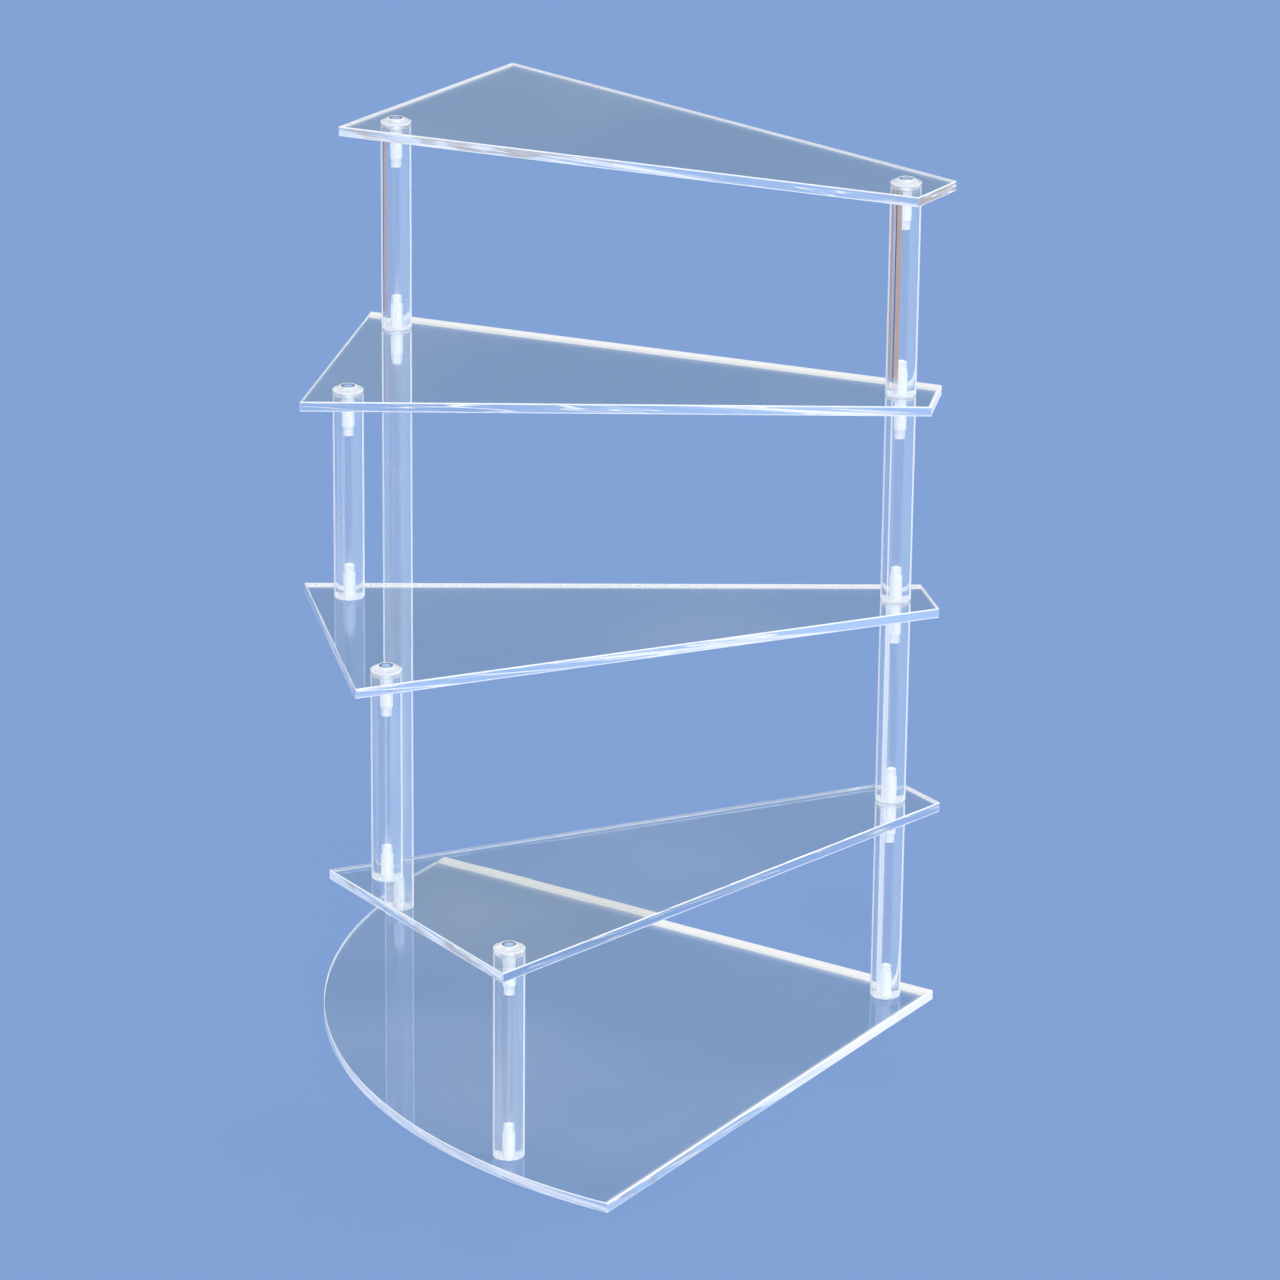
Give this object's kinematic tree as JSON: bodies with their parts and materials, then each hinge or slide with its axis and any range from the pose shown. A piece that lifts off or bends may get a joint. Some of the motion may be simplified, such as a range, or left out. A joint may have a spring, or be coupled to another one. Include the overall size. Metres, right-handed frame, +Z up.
{
  "type": "tiered shelf riser",
  "caption": "Clear acrylic display riser: wedge shelves fan up like a spiral stair round a corner column of screwed round posts, over a quarter-round base plate.",
  "frame": {"origin": "middle of the stand's footprint box, on the surface it stands on", "axes": "+Z up; +X along the base plate's straight back edge, towards the pivot column's corner; +Y from the curved front of the base plate to that back edge"},
  "size_m": [0.3114, 0.3644, 0.4275],
  "materials": {
    "plate_acrylic": "polished",
    "rod_acrylic": "polished",
    "cap_acrylic": "polished",
    "white_nylon": "satin"
  },
  "bodies": {
    "root": {"base_plate": "plate_acrylic", "shelf_1": "plate_acrylic", "shelf_2": "plate_acrylic", "shelf_3": "plate_acrylic", "shelf_4": "plate_acrylic", "pivot_post_1": "rod_acrylic", "pivot_post_2": "rod_acrylic", "pivot_post_3": "rod_acrylic", "pivot_post_4": "rod_acrylic", "outer_post_1": "rod_acrylic", "outer_post_2": "rod_acrylic", "outer_post_3": "rod_acrylic", "outer_post_4": "rod_acrylic", "support_post": "rod_acrylic", "pivot_cap": "cap_acrylic", "outer_cap_1": "cap_acrylic", "outer_cap_2": "cap_acrylic", "outer_cap_3": "cap_acrylic", "outer_cap_4": "cap_acrylic", "pivot_stud_1": "white_nylon", "pivot_stud_2": "white_nylon", "pivot_stud_3": "white_nylon", "support_stud": "white_nylon", "pivot_cap_stud": "white_nylon", "outer_cap_stud_1": "white_nylon", "outer_cap_stud_2": "white_nylon", "outer_cap_stud_3": "white_nylon", "outer_cap_stud_4": "white_nylon", "outer_post_screw_1": "white_nylon", "outer_post_screw_2": "white_nylon", "outer_post_screw_3": "white_nylon", "pivot_foot_screw": "white_nylon", "support_foot_screw": "white_nylon"}
  },
  "joints": []
}
